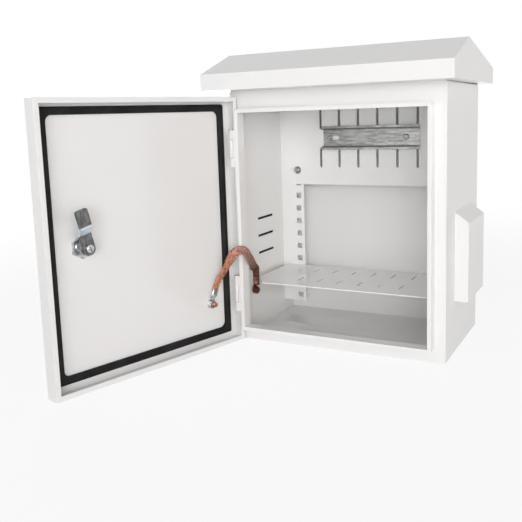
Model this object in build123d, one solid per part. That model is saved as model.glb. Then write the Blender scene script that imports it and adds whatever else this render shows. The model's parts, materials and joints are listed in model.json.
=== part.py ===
from build123d import *
from math import atan2, cos, radians, sin, sqrt, tan
import os

# Wall-mounted outdoor utility cabinet with a rain roof, a hinged door standing open, a slotted
# mounting plate with a top-hat rail, a slotted shelf and an earthing strap.
# Units are millimetres. +Z is up, the door is on the -Y side, X runs to the right seen from the
# front. The origin is the middle of the cabinet's floor on its underside.

# Body
body_width = 297.0
body_height = 349.0
body_depth = 182.0
sheet = 1.2
fold_radius = 2.0

# Front frame round the opening: its bars reach to the inside of the gutter lip
frame_side_width = 19.2
frame_bottom_height = 21.5
frame_top_height = 29.6
lip_width = 5.2
lip_depth = 15.8
lip_corner_radius = 4.0
lip_smallest_radius = 0.4

# Rain roof
roof_side_overhang = 18.2
roof_front_overhang = 43.9
roof_rear_overhang = 8.4
roof_fascia_height = 21.7
roof_ridge_height = 51.0
roof_ridge_back = 32.8
roof_flange_seat = 12.0

# Vents in the side walls, and the hoods over them
vent_count = 3
vent_bottom = 111.0
vent_pitch = 26.0
vent_front = 66.0
vent_length = 49.0
vent_height = 3.5
hood_front = 44.8
hood_length = 97.3
hood_bottom = 70.0
hood_height = 116.5
hood_slope_drop = 13.5
hood_depth = 17.6

# Pierced uprights in the rear corners
upright_width = 37.9
upright_bottom = 20.0
upright_top_gap = 29.0
upright_standoff = 31.8
upright_sheet = 1.5
upright_hole = 8.0
upright_hole_first = 9.5
upright_hole_pitch = 20.0
upright_hole_inset = 8.9

# Slotted mounting plate
plate_side_gap = 15.8
plate_offset = -3.0
plate_height = 126.5
plate_sheet = 1.5
plate_slot_width = 3.8
plate_slot_length = 29.5
plate_slot_pitch = 30.0
plate_slot_columns = 6
lower_slots_height = 41.25
upper_slots_height = 99.25
plate_fixing_slot_length = 15.5
plate_fixing_slot_height = 7.5
plate_fixing_slack = 0.7
plate_fixing_height = 22.0
plate_fixing_holes_down = 5

# Top-hat rail, 35 high and 7.5 deep
rail_height = 35.0
rail_channel = 27.0
rail_depth = 7.5
rail_sheet = 1.0
rail_length = 148.5
rail_offset = 1.2
rail_height_on_plate = 71.0
rail_slot_length = 17.5
rail_slot_height = 5.6
rail_slot_inset = 7.7
rail_screw_shift = 1.1

# Shelf and the arms that carry it
shelf_top = 79.0
shelf_sheet = 1.5
shelf_side_gap = 8.3
shelf_front = 19.0
shelf_rear_gap = 0.3
shelf_corner_width = 20.0
shelf_corner_depth = 31.0
shelf_slot_width = 3.0
shelf_slot_length = 25.0
shelf_slot_pitch = 30.0
shelf_slot_columns = 6
shelf_front_row = 40.5
shelf_rear_row = 31.2
arm_sheet = 1.5
arm_width = 16.0
arm_front = 42.0
arm_tip_depth = 4.0
arm_tab_height = 34.0
arm_hole_numbers = (1, 2)

# Door, a shallow pan folded from one sheet, and its gasket
door_gap = 3.0
door_depth = 20.0
door_bottom = 1.0
door_top_gap = 8.0
door_return = 6.3
door_corner_radius = 1.0
door_angle = 106.0
gasket_width = 9.4
gasket_lap = 2.5
gasket_bottom_lap = 4.6
gasket_top_lap = 7.1
gasket_inner_radius = 8.0
gasket_outer_radius = 3.0
gasket_gap = 0.4

# Hinges
hinge_inset = 5.5
hinge_set_forward = 9.3
hinge_length = 50.4
hinge_middle = 24.8
hinge_knuckle_gap = 0.4
hinge_above_door_bottom = 67.2
hinge_below_door_top = 69.8
pin_radius = 2.5
pin_head_radius = 3.4
pin_head_height = 1.2
pin_clearance = 0.05
leaf_knuckle_radius = 3.6
leaf_sheet = 1.5
leaf_set_forward = 3.2
door_knuckle_radius = 4.0
door_knuckle_leaf = 9.0
door_knuckle_clearance = 0.6

# Cam lock
lock_from_edge = 55.5
lock_radius = 9.5
lock_reach = 15.5
lock_flange_radius = 12.5
lock_flange_height = 2.2
lock_flange_edge_radius = 1.0
lock_hole_clearance = 0.25
lock_nut_flats = 24.0
lock_nut_height = 5.0
cylinder_radius = 6.0
cylinder_clearance = 0.08
cylinder_square = 7.2
key_recess_side = 8.0
key_recess_depth = 6.0
cam_length = 48.5
cam_width = 16.0
cam_sheet = 2.7
cam_seat_gap = 0.3
cam_strike_gap = 0.3
cam_crank_start = 18.0
cam_crank_length = 9.5
cam_heel_radius = 7.2
cam_tip_radius = 2.8
cam_tilt = 14.5
cam_screw_radius = 3.0
cam_screw_head_radius = 5.0
cam_screw_head_height = 3.5
cam_screw_grip = 6.0

# Screws, bolts and nuts
m6_radius = 3.0
m6_hole_radius = 3.3
thread_past_nut = 1.5
head_edge_radius = 1.4
recess_rim = 1.9
recess_half_width = 0.5
recess_depth = 1.7
m6_flats = 10.0
m6_head_height = 4.0
m6_nut_height = 5.0
plate_screw_head_radius = 4.4
plate_screw_head_height = 3.2
washer_radius = 5.8
washer_height = 1.0
m5_radius = 2.5
m5_hole_radius = 2.75
m5_head_radius = 4.0
m5_head_height = 3.0
m5_nut_flats = 8.0
m5_nut_height = 4.0

# Earth terminals and strap
door_stud_length = 13.0
wall_stud_length = 9.0
stud_weld_radius = 5.0
stud_weld_height = 1.0
lug_sheet = 1.2
lug_width = 11.0
lug_length = 20.0
lug_barrel_length = 8.0
lug_barrel_wall = 1.0
strap_radius = 1.9
strap_lead = 12.0
door_stud_from_hinge = 41.5
door_stud_level = 59.3
door_lug_lean = 22.0
wall_stud_back = 46.0
wall_stud_level = 59.3

# Holes for wall or pole brackets, and cable entries
bracket_hole_radius = 4.25
bracket_hole_inset = 25.0
bracket_hole_margin = 24.5
cable_entry_radius = 14.0
cable_entry_count = 3
cable_entry_pitch = 80.0
cable_entry_back = 32.0

# Levels and planes that follow from the sizes above
half_width = body_width / 2
front = -body_depth / 2
rear = body_depth / 2
wall_inside = half_width - sheet
back_inside = rear - sheet
bracket_hole_spread = half_width - bracket_hole_inset
opening_half_width = half_width - frame_side_width
opening_bottom = frame_bottom_height
opening_top = body_height - frame_top_height
lip_outer = opening_half_width + lip_width
upright_height = body_height - upright_bottom - upright_top_gap
upright_hole_count = int((upright_height - 2 * upright_hole_first) / upright_hole_pitch) + 1
upright_front = back_inside - upright_standoff
upright_inner_edge = wall_inside - upright_width
hole_line = upright_inner_edge + upright_hole_inset
plate_width = 2 * (wall_inside - plate_side_gap)
plate_front = upright_front - plate_sheet
plate_fixing_spread = hole_line + plate_fixing_slack
plate_fixing_hole_number = upright_hole_count - plate_fixing_holes_down
plate_fixing_level = upright_bottom + upright_hole_first + plate_fixing_hole_number * upright_hole_pitch
plate_bottom = plate_fixing_level - plate_fixing_height
rail_level = plate_bottom + rail_height_on_plate
rail_slot_spread = (rail_length - rail_slot_length) / 2 - rail_slot_inset
rail_screw_spread = rail_slot_spread + rail_screw_shift
shelf_underside = shelf_top - shelf_sheet
skin_outside = -(door_gap + door_depth)
skin_inside = skin_outside + sheet
hinge_x = -half_width + hinge_inset
hinge_y = front - hinge_set_forward
skin_v = skin_inside + hinge_set_forward
flange_v = hinge_set_forward - door_gap
door_near = -hinge_inset
door_far = body_width - hinge_inset
door_top = body_height - door_top_gap
hinge_levels = {
    "lower": door_bottom + hinge_above_door_bottom,
    "upper": door_top - hinge_below_door_top,
}
lock_from_hinge = door_far - lock_from_edge
lock_level = (hinge_levels["lower"] + hinge_levels["upper"]) / 2
strike_v = hinge_set_forward + sheet + cam_strike_gap

os.makedirs("parts", exist_ok=True)
nodes = {}


def block(x_low, x_high, y_low, y_high, z_low, z_high):
    size = Box(x_high - x_low, y_high - y_low, z_high - z_low)
    return Pos((x_low + x_high) / 2, (y_low + y_high) / 2, (z_low + z_high) / 2) * size


# A block whose four edges along Y are rounded
def rounded_block(x_low, x_high, y_low, y_high, z_low, z_high, radius):
    solid = block(x_low, x_high, y_low, y_high, z_low, z_high)
    return fillet(solid.edges().filter_by(Axis.Y), radius)


# A round bar along an axis from one end point
def bar(start, direction, radius, length):
    return Solid.make_cylinder(radius, length, Plane(start, z_dir=direction))


# A hexagonal prism along an axis
def hexagon(start, direction, flats, length):
    outline = RegularPolygon(flats / 2, 6, major_radius=False)
    return extrude(Plane(start, z_dir=direction) * outline, length)


# An obround cutter through a plate: the slot's long side lies along x_dir
def slot_cutter(centre, x_dir, z_dir, length, width, depth):
    outline = SlotOverall(length, width)
    place = Plane(centre, x_dir=x_dir, z_dir=z_dir)
    return extrude(place * outline, depth / 2, both=True)


# A flat outline in the plane across X, drawn out from one X to another
def prism_along_x(points, x_low, x_high):
    outline = make_face(Polyline(*[(x_low, y, z) for y, z in points], close=True))
    return extrude(outline, x_high - x_low, dir=(1, 0, 0))


# A flat outline in the plane across Y, drawn out from one Y to another
def prism_along_y(points, y_low, y_high):
    outline = make_face(Polyline(*[(x, y_low, z) for x, z in points], close=True))
    return extrude(outline, y_high - y_low, dir=(0, 1, 0))


# A flat outline in plan, drawn up from one Z to another
def prism_up(points, z_low, z_high):
    outline = make_face(Polyline(*[(x, y, z_low) for x, y in points], close=True))
    return extrude(outline, z_high - z_low, dir=(0, 0, 1))


def mirrored(solid):
    return mirror(solid, Plane.YZ)


# Evenly spaced places about a middle
def spread(count, pitch, middle=0.0):
    return [middle + (i - (count - 1) / 2) * pitch for i in range(count)]


# Cabinet body: one sheet wrapped round as sides, top and floor
def cabinet_wrap():
    outside = rounded_block(-half_width, half_width, front + sheet, rear, 0, body_height, fold_radius)
    inside = rounded_block(
        -wall_inside, wall_inside, front, rear + sheet, sheet, body_height - sheet, fold_radius - sheet
    )
    wrap = outside - inside
    vent_middle = front + vent_front + vent_length / 2
    for side in (-1, 1):
        for i in range(vent_count):
            centre = (side * (half_width - sheet / 2), vent_middle, vent_bottom + i * vent_pitch)
            wrap -= slot_cutter(centre, (0, 1, 0), (1, 0, 0), vent_length, vent_height, 4 * sheet)
    for x in spread(cable_entry_count, cable_entry_pitch):
        wrap -= bar((x, front + cable_entry_back, -sheet), (0, 0, 1), cable_entry_radius, 4 * sheet)
    return wrap


# Front frame: a pressed sheet whose inner edge is folded forward and back again as a gutter lip
def front_frame():
    face = rounded_block(-half_width, half_width, front, front + sheet, 0, body_height, fold_radius)

    def ring(outer_inset, y_low, y_high):
        return rounded_block(
            -lip_outer + outer_inset,
            lip_outer - outer_inset,
            y_low,
            y_high,
            opening_bottom - lip_width + outer_inset,
            opening_top + lip_width - outer_inset,
            max(lip_corner_radius - outer_inset, lip_smallest_radius),
        )

    lip_front = front - lip_depth
    gutter = lip_width - 2 * sheet
    folded = ring(0, lip_front, front + sheet) - ring(lip_width, lip_front - sheet, front + 2 * sheet)
    groove = ring(sheet, lip_front + sheet, front + 2 * sheet) - ring(
        sheet + gutter, lip_front, front + 3 * sheet
    )
    return face - ring(sheet, front - sheet, front + 2 * sheet) + (folded - groove)


# Back panel, let into the wrap, with a hole near each corner for wall or pole brackets
def back_panel():
    panel = rounded_block(
        -wall_inside, wall_inside, back_inside, rear, sheet, body_height - sheet, fold_radius - sheet
    )
    for x in (-bracket_hole_spread, bracket_hole_spread):
        for z in (bracket_hole_margin, body_height - bracket_hole_margin):
            panel -= bar((x, back_inside - sheet, z), (0, 1, 0), bracket_hole_radius, 3 * sheet)
    return panel


# Gabled roof, closed at its ends, with a return flange below that seats on the body's top
def rain_roof():
    eave_front = front - roof_front_overhang
    eave_rear = rear + roof_rear_overhang
    half_span = half_width + roof_side_overhang
    eave = body_height + roof_fascia_height
    ridge = (front + roof_ridge_back, body_height + roof_ridge_height)
    outside = [
        (eave_front, body_height),
        (eave_front, eave),
        ridge,
        (eave_rear, eave),
        (eave_rear, body_height),
    ]

    # The roof's sheets keep their thickness square to their own slope
    front_slope = atan2(roof_ridge_height - roof_fascia_height, ridge[0] - eave_front)
    rear_slope = atan2(roof_ridge_height - roof_fascia_height, eave_rear - ridge[0])
    front_level = eave - sheet / cos(front_slope) + sheet * tan(front_slope)
    rear_level = eave - sheet / cos(rear_slope) + sheet * tan(rear_slope)
    run = eave_rear - eave_front - 2 * sheet
    peak = (run * tan(rear_slope) + rear_level - front_level) / (tan(front_slope) + tan(rear_slope))
    inside = [
        (eave_front + sheet, body_height + sheet),
        (eave_front + sheet, front_level),
        (eave_front + sheet + peak, front_level + peak * tan(front_slope)),
        (eave_rear - sheet, rear_level),
        (eave_rear - sheet, body_height + sheet),
    ]
    shell = prism_along_x(outside, -half_span, half_span)
    shell -= prism_along_x(inside, -half_span + sheet, half_span - sheet)
    edge = half_width - roof_flange_seat
    return shell - block(
        -edge, edge, front + roof_flange_seat, rear - roof_flange_seat, body_height - 1, body_height + 2 * sheet
    )


# Vent hood on the right wall: a folded cover with a sloping top, open below
def vent_hood():
    outer = half_width + hood_depth
    top = hood_bottom + hood_height
    slope = hood_slope_drop / hood_depth
    drop = sheet * sqrt(1 + slope**2)
    outside = [
        (half_width, hood_bottom),
        (outer, hood_bottom),
        (outer, top - hood_slope_drop),
        (half_width, top),
    ]
    inside = [
        (half_width - sheet, hood_bottom - sheet),
        (outer - sheet, hood_bottom - sheet),
        (outer - sheet, top - drop - slope * (hood_depth - sheet)),
        (half_width - sheet, top - drop + slope * sheet),
    ]
    hood_near = front + hood_front
    hood = prism_along_y(outside, hood_near, hood_near + hood_length)
    return hood - prism_along_y(inside, hood_near + sheet, hood_near + hood_length - sheet)


# Upright in the right rear corner: an angle whose face carries a row of square holes
def upright():
    top = upright_bottom + upright_height
    face = block(
        upright_inner_edge, wall_inside, upright_front, upright_front + upright_sheet, upright_bottom, top
    )
    leg = block(wall_inside - upright_sheet, wall_inside, upright_front, back_inside, upright_bottom, top)
    angle = face + leg
    for i in range(upright_hole_count):
        z = upright_bottom + upright_hole_first + i * upright_hole_pitch
        angle -= block(
            hole_line - upright_hole / 2,
            hole_line + upright_hole / 2,
            upright_front - upright_sheet,
            upright_front + 2 * upright_sheet,
            z - upright_hole / 2,
            z + upright_hole / 2,
        )
    return angle


# Mounting plate: two rows of upright slots, a fixing slot at each side and two holes for the rail
def mounting_plate():
    half = plate_width / 2
    middle = plate_front + plate_sheet / 2
    plate = block(
        plate_offset - half,
        plate_offset + half,
        plate_front,
        upright_front,
        plate_bottom,
        plate_bottom + plate_height,
    )
    for x in spread(plate_slot_columns, plate_slot_pitch, plate_offset):
        for height in (lower_slots_height, upper_slots_height):
            centre = (x, middle, plate_bottom + height)
            plate -= slot_cutter(
                centre, (0, 0, 1), (0, 1, 0), plate_slot_length, plate_slot_width, 4 * plate_sheet
            )
    for side in (-1, 1):
        centre = (plate_offset + side * plate_fixing_spread, middle, plate_fixing_level)
        plate -= slot_cutter(
            centre, (1, 0, 0), (0, 1, 0), plate_fixing_slot_length, plate_fixing_slot_height, 4 * plate_sheet
        )
        start = (plate_offset + side * rail_screw_spread, plate_front - plate_sheet, rail_level)
        plate -= bar(start, (0, 1, 0), m5_hole_radius, 3 * plate_sheet)
    return plate


# Cutter for a cross recess in a head of the given radius, between two planes across Y
def cross_recess(x, y_low, y_high, z, head_radius):
    arm = head_radius - recess_rim
    level_arm = block(x - arm, x + arm, y_low, y_high, z - recess_half_width, z + recess_half_width)
    upright_arm = block(x - recess_half_width, x + recess_half_width, y_low, y_high, z - arm, z + arm)
    return level_arm + upright_arm


# A pan-head screw pointing along +Y, its head's underside at the given place
def pan_screw(x, y, z, shank_radius, shank_length, head_radius, head_height):
    top = y - head_height
    head = bar((x, top, z), (0, 1, 0), head_radius, head_height)
    head = fillet(head.edges().group_by(Axis.Y)[0], head_edge_radius)
    head -= cross_recess(x, top - 1, top + recess_depth, z, head_radius)
    return head + bar((x, y, z), (0, 1, 0), shank_radius, shank_length)


# A nut whose bearing face is at the start, bored to the shank it holds
def nut(start, direction, flats, height, bore_radius):
    body = hexagon(start, direction, flats, height)
    return body - bar(start, direction, bore_radius, height)


def plate_fixings():
    screws = []
    washers = []
    nuts = []
    shank = washer_height + plate_sheet + upright_sheet + m6_nut_height + thread_past_nut
    for side in (-1, 1):
        x = side * hole_line
        seat = plate_front - washer_height
        screws.append(
            pan_screw(
                x,
                seat,
                plate_fixing_level,
                m6_radius,
                shank,
                plate_screw_head_radius,
                plate_screw_head_height,
            )
        )
        washer = bar((x, seat, plate_fixing_level), (0, 1, 0), washer_radius, washer_height)
        washers.append(washer - bar((x, seat, plate_fixing_level), (0, 1, 0), m6_radius, washer_height))
        behind = (x, upright_front + upright_sheet, plate_fixing_level)
        nuts.append(nut(behind, (0, 1, 0), m6_flats, m6_nut_height, m6_radius))
    return screws, washers, nuts


# Top-hat rail, drawn out along X, with a slot near each end of its web
def din_rail():
    face = plate_front - rail_depth
    low = rail_level - rail_height / 2
    high = rail_level + rail_height / 2
    channel_low = rail_level - rail_channel / 2
    channel_high = rail_level + rail_channel / 2
    t = rail_sheet
    profile = [
        (face, low),
        (face, channel_low + t),
        (plate_front - t, channel_low + t),
        (plate_front - t, channel_high - t),
        (face, channel_high - t),
        (face, high),
        (face + t, high),
        (face + t, channel_high),
        (plate_front, channel_high),
        (plate_front, channel_low),
        (face + t, channel_low),
        (face + t, low),
    ]
    left = rail_offset - rail_length / 2
    right = rail_offset + rail_length / 2
    rail = prism_along_x(profile, left, right)
    for x in (rail_offset - rail_slot_spread, rail_offset + rail_slot_spread):
        rail -= slot_cutter(
            (x, plate_front, rail_level), (1, 0, 0), (0, 1, 0), rail_slot_length, rail_slot_height, 6 * t
        )
    return rail


def rail_fixings():
    screws = []
    nuts = []
    shank = rail_sheet + plate_sheet + m5_nut_height + thread_past_nut
    for side in (-1, 1):
        x = plate_offset + side * rail_screw_spread
        screws.append(
            pan_screw(
                x, plate_front - rail_sheet, rail_level, m5_radius, shank, m5_head_radius, m5_head_height
            )
        )
        nuts.append(nut((x, upright_front, rail_level), (0, 1, 0), m5_nut_flats, m5_nut_height, m5_radius))
    return screws, nuts


# Shelf with its two front corners cut off and two rows of slots
def shelf():
    half = wall_inside - shelf_side_gap
    near = front + shelf_front
    far = upright_front - shelf_rear_gap
    corner_x = half - shelf_corner_width
    corner_y = near + shelf_corner_depth
    outline = [
        (-corner_x, near),
        (corner_x, near),
        (half, corner_y),
        (half, far),
        (-half, far),
        (-half, corner_y),
    ]
    sheet_solid = prism_up(outline, shelf_underside, shelf_top)
    for x in spread(shelf_slot_columns, shelf_slot_pitch):
        for y in (near + shelf_front_row, far - shelf_rear_row):
            sheet_solid -= slot_cutter(
                (x, y, shelf_underside),
                (0, 1, 0),
                (0, 0, 1),
                shelf_slot_length,
                shelf_slot_width,
                4 * shelf_sheet,
            )
    return sheet_solid


# Right shelf arm: a folded bracket with a tab on the upright, a web and a flange under the shelf
def shelf_arm():
    inner = hole_line - arm_width / 2
    outer = hole_line + arm_width / 2
    near = front + arm_front
    tab_low = shelf_underside - arm_tab_height
    flange = block(inner, outer, near, upright_front, shelf_underside - arm_sheet, shelf_underside)
    tab = block(inner, outer, upright_front - arm_sheet, upright_front, tab_low, shelf_underside)
    web_outline = [
        (near, shelf_underside),
        (near, shelf_underside - arm_tip_depth),
        (upright_front - arm_sheet, tab_low),
        (upright_front - arm_sheet, shelf_underside),
    ]
    arm = flange + tab + prism_along_x(web_outline, inner, inner + arm_sheet)
    for number in arm_hole_numbers:
        z = upright_bottom + upright_hole_first + number * upright_hole_pitch
        arm -= bar((hole_line, upright_front - 2 * arm_sheet, z), (0, 1, 0), m6_hole_radius, 3 * arm_sheet)
    return arm


def arm_fixings():
    bolts = []
    nuts = []
    seat = upright_front - arm_sheet
    shank = arm_sheet + upright_sheet + m6_nut_height + thread_past_nut
    for side in (-1, 1):
        for number in arm_hole_numbers:
            x = side * hole_line
            z = upright_bottom + upright_hole_first + number * upright_hole_pitch
            head = hexagon((x, seat - m6_head_height, z), (0, 1, 0), m6_flats, m6_head_height)
            bolts.append(head + bar((x, seat, z), (0, 1, 0), m6_radius, shank))
            behind = (x, upright_front + upright_sheet, z)
            nuts.append(nut(behind, (0, 1, 0), m6_flats, m6_nut_height, m6_radius))
    return bolts, nuts


# Fixed half of a hinge: a leaf on the lip's outer wall with a knuckle at each end
def hinge_leaf(level):
    low = level - hinge_length / 2
    high = level + hinge_length / 2
    gap_low = level - hinge_middle / 2 - hinge_knuckle_gap
    gap_high = level + hinge_middle / 2 + hinge_knuckle_gap
    leaf_back = hinge_y - leaf_set_forward
    leaf_front = leaf_back - leaf_sheet
    leaf = block(hinge_x, -lip_outer, leaf_front, leaf_back, low, high)
    for z_low, z_high in ((low, gap_low), (gap_high, high)):
        leaf += bar((hinge_x, hinge_y, z_low), (0, 0, 1), leaf_knuckle_radius, z_high - z_low)
    clear = door_knuckle_radius + door_knuckle_clearance
    leaf -= block(hinge_x - clear, hinge_x + clear, leaf_front - 1, leaf_back + 1, gap_low, gap_high)
    return leaf - bar((hinge_x, hinge_y, low), (0, 0, 1), pin_radius, high - low)


# Hinge pin with a head that rests on the top knuckle
def hinge_pin(level):
    low = level - hinge_length / 2
    high = level + hinge_length / 2
    pin = bar((hinge_x, hinge_y, low), (0, 0, 1), pin_radius, high - low)
    return pin + bar((hinge_x, hinge_y, high), (0, 0, 1), pin_head_radius, pin_head_height)


# What is on the door is built with the hinge axis as its origin, X along the door and Y towards the
# cabinet, as it stands when shut, and is then turned open about the hinge
def on_door(solid):
    return Pos(hinge_x, hinge_y, 0) * Rot(0, 0, -door_angle) * solid


# Door: skin, four sides and a narrow return flange with mitred corners
def door_panel():
    skin_front = skin_v - sheet
    pan = block(door_near, door_far, skin_front, flange_v, door_bottom, door_top)
    pan = fillet(pan.edges().group_by(Axis.Y)[0], door_corner_radius)
    hollow = block(
        door_near + sheet,
        door_far - sheet,
        skin_v,
        flange_v - sheet,
        door_bottom + sheet,
        door_top - sheet,
    )
    mouth = block(
        door_near + door_return,
        door_far - door_return,
        skin_v + 1,
        flange_v + 1,
        door_bottom + door_return,
        door_top - door_return,
    )
    pan = pan - hollow - mouth
    pan -= bar(
        (lock_from_hinge, skin_front - 1, lock_level),
        (0, 1, 0),
        lock_radius + lock_hole_clearance,
        sheet + 2,
    )
    return pan


# Gasket glued to the skin, running round opposite the lip
def door_gasket():
    near = -lip_outer - gasket_lap - hinge_x
    far = lip_outer + gasket_lap - hinge_x
    low = opening_bottom - lip_width - gasket_bottom_lap
    high = opening_top + lip_width + gasket_top_lap
    face = hinge_set_forward - lip_depth - gasket_gap
    outside = rounded_block(near, far, skin_v, face, low, high, gasket_outer_radius)
    return outside - rounded_block(
        near + gasket_width,
        far - gasket_width,
        skin_v - 1,
        face + 1,
        low + gasket_width,
        high - gasket_width,
        gasket_inner_radius,
    )


# Moving half of a hinge: one knuckle with a leaf on the inside of the door's edge
def door_knuckle(level):
    low = level - hinge_middle / 2
    edge = door_near + sheet
    leaf = block(edge, edge + leaf_sheet, -door_knuckle_leaf, 0, low, low + hinge_middle)
    knuckle = bar((0, 0, low), (0, 0, 1), door_knuckle_radius, hinge_middle)
    return leaf + knuckle - bar((0, 0, low), (0, 0, 1), pin_radius + pin_clearance, hinge_middle)


# Lock housing: a round barrel through the door with a flange outside, bored for the cylinder
def lock_housing():
    skin_front = skin_v - sheet
    flange = bar(
        (lock_from_hinge, skin_front - lock_flange_height, lock_level),
        (0, 1, 0),
        lock_flange_radius,
        lock_flange_height,
    )
    flange = fillet(flange.edges().group_by(Axis.Y)[0], lock_flange_edge_radius)
    length = lock_reach + sheet
    barrel = bar((lock_from_hinge, skin_front, lock_level), (0, 1, 0), lock_radius, length)
    bore = bar(
        (lock_from_hinge, skin_front - lock_flange_height, lock_level),
        (0, 1, 0),
        cylinder_radius + cylinder_clearance,
        length + lock_flange_height,
    )
    return flange + barrel - bore


# Nut on the lock barrel, against the door's inside
def lock_nut():
    start = (lock_from_hinge, skin_v, lock_level)
    body = hexagon(start, (0, 1, 0), lock_nut_flats, lock_nut_height)
    return body - bar(start, (0, 1, 0), lock_radius, lock_nut_height)


# Lock cylinder with a three-sided key recess outside and a square end that carries the cam
def lock_cylinder():
    head = skin_v - sheet - lock_flange_height
    seat = skin_v + lock_reach + cam_seat_gap
    body = bar((lock_from_hinge, head, lock_level), (0, 1, 0), cylinder_radius, seat - head)
    key = Plane((lock_from_hinge, head, lock_level), z_dir=(0, 1, 0)) * RegularPolygon(key_recess_side / 2, 3)
    body -= extrude(key, key_recess_depth)
    square = cylinder_square / 2
    body += block(
        lock_from_hinge - square,
        lock_from_hinge + square,
        seat,
        seat + cam_sheet,
        lock_level - square,
        lock_level + square,
    )
    start = (lock_from_hinge, seat - cam_screw_grip, lock_level)
    body -= bar(start, (0, 1, 0), cam_screw_radius, cam_screw_grip + cam_sheet)
    return tilted(body)


# Everything that the key turns stands tilted from upright towards the door's free edge
def tilted(solid):
    turn = Pos(lock_from_hinge, 0, lock_level) * Rot(0, cam_tilt, 0) * Pos(-lock_from_hinge, 0, -lock_level)
    return turn * solid


# Cam: a cranked strap whose tip reaches behind the front frame when the lock is turned
def lock_cam():
    seat = skin_v + lock_reach + cam_seat_gap
    crank = strike_v - seat
    start = lock_level + cam_crank_start
    end = start + cam_crank_length
    half = cam_width / 2
    tip = lock_level + cam_length
    centre_line = [
        (seat, lock_level - half),
        (seat, start),
        (seat + crank, end),
        (seat + crank, tip),
        (seat + crank + cam_sheet, tip),
        (seat + crank + cam_sheet, end - cam_sheet / 2),
        (seat + cam_sheet, start - cam_sheet / 2),
        (seat + cam_sheet, lock_level - half),
    ]
    cam = prism_along_x(centre_line, lock_from_hinge - half, lock_from_hinge + half)
    cam = fillet(cam.edges().filter_by(Axis.Y).group_by(Axis.Z)[0], cam_heel_radius)
    cam = fillet(cam.edges().filter_by(Axis.Y).group_by(Axis.Z)[-1], cam_tip_radius)
    square = cylinder_square / 2
    cam -= block(
        lock_from_hinge - square,
        lock_from_hinge + square,
        seat - 1,
        seat + cam_sheet + 1,
        lock_level - square,
        lock_level + square,
    )
    return tilted(cam)


# Screw that holds the cam on the cylinder's end
def cam_screw():
    seat = skin_v + lock_reach + cam_seat_gap + cam_sheet
    start = (lock_from_hinge, seat, lock_level)
    head = bar(start, (0, 1, 0), cam_screw_head_radius, cam_screw_head_height)
    head = fillet(head.edges().group_by(Axis.Y)[-1], head_edge_radius)
    top = seat + cam_screw_head_height
    head -= cross_recess(lock_from_hinge, top - recess_depth, top + 1, lock_level, cam_screw_head_radius)
    shank_start = (lock_from_hinge, seat - cam_sheet - cam_screw_grip, lock_level)
    shank = bar(shank_start, (0, 1, 0), cam_screw_radius, cam_sheet + cam_screw_grip)
    return tilted(head + shank)


# Earth terminal lying on a surface at the origin with the stud along +Z and the lug along +X
def earth_stud(length):
    weld = bar((0, 0, 0), (0, 0, 1), stud_weld_radius, stud_weld_height)
    return weld + bar((0, 0, 0), (0, 0, 1), m6_radius, length)


def earth_lug():
    low = stud_weld_height
    tongue = block(0, lug_length, -lug_width / 2, lug_width / 2, low, low + lug_sheet)
    eye = bar((0, 0, low), (0, 0, 1), lug_width / 2, lug_sheet)
    top = low + lug_sheet + 2 * strap_radius + lug_barrel_wall
    barrel = block(lug_length - lug_barrel_length, lug_length, -lug_width / 2, lug_width / 2, low, top)
    return tongue + eye + barrel - bar((0, 0, 0), (0, 0, 1), m6_radius, top)


def earth_nut():
    return nut((0, 0, stud_weld_height + lug_sheet), (0, 0, 1), m6_flats, m6_nut_height, m6_radius)


# The door's terminal has its stud square to the skin and its lug up and a little to the hinge side
def at_door_terminal(solid):
    lean = 90 + door_lug_lean
    along = (cos(radians(lean)), 0, sin(radians(lean)))
    place = Plane((door_stud_from_hinge, skin_v, door_stud_level), x_dir=along, z_dir=(0, 1, 0))
    return on_door(place.location * solid)


# The wall's terminal has its stud square to the left wall and its lug straight up
def at_wall_terminal(solid):
    place = Plane((-wall_inside, front + wall_stud_back, wall_stud_level), x_dir=(0, 0, 1), z_dir=(1, 0, 0))
    return place.location * solid


# Middle of the mouth of each lug, and the first bend of the strap straight beyond it
strap_level = stud_weld_height + lug_sheet + strap_radius
door_mouth, door_bend = (
    at_door_terminal(Vertex(x, 0, strap_level)).center() for x in (lug_length, lug_length + strap_lead)
)
wall_mouth, wall_bend = (
    at_wall_terminal(Vertex(x, 0, strap_level)).center() for x in (lug_length, lug_length + strap_lead)
)

# Strap: from the lug on the door, over the lip, down the inside to the lug on the wall
strap_route = [
    tuple(door_mouth),
    tuple(door_bend),
    (-151.0, front - 25.0, 105.5),
    (-146.0, front - 21.5, 117.5),
    (-139.5, front - 23.0, 129.0),
    (-130.5, front - 23.0, 136.5),
    (-121.5, front - 16.5, 138.5),
    (-117.0, front - 4.5, 135.0),
    (-118.5, front + 9.5, 126.0),
    (-126.5, front + 23.5, 115.0),
    (-136.0, front + 36.5, 104.0),
    tuple(wall_bend),
    tuple(wall_mouth),
]


def strap_radii():
    radii = []
    for before, here, after in zip(strap_route, strap_route[1:], strap_route[2:]):
        run_in = Vector(here) - Vector(before)
        run_out = Vector(after) - Vector(here)
        turn = radians(run_in.get_angle(run_out))
        radii.append(0.45 * min(run_in.length, run_out.length) / tan(turn / 2))
    return radii


def earth_strap():
    path = FilletPolyline(*strap_route, radius=strap_radii())
    section = Plane(path @ 0, z_dir=path % 0) * Circle(strap_radius)
    strap = sweep(section, path)
    expected = section.area * path.length
    print("strap length", round(path.length, 1), "radii", [round(r, 1) for r in strap_radii()])
    print("strap volume", round(strap.volume, 1), "section times length", round(expected, 1))
    return strap


plate_screws, plate_washers, plate_nuts = plate_fixings()
rail_screws, rail_nuts = rail_fixings()
arm_bolts, arm_nuts = arm_fixings()

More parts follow.
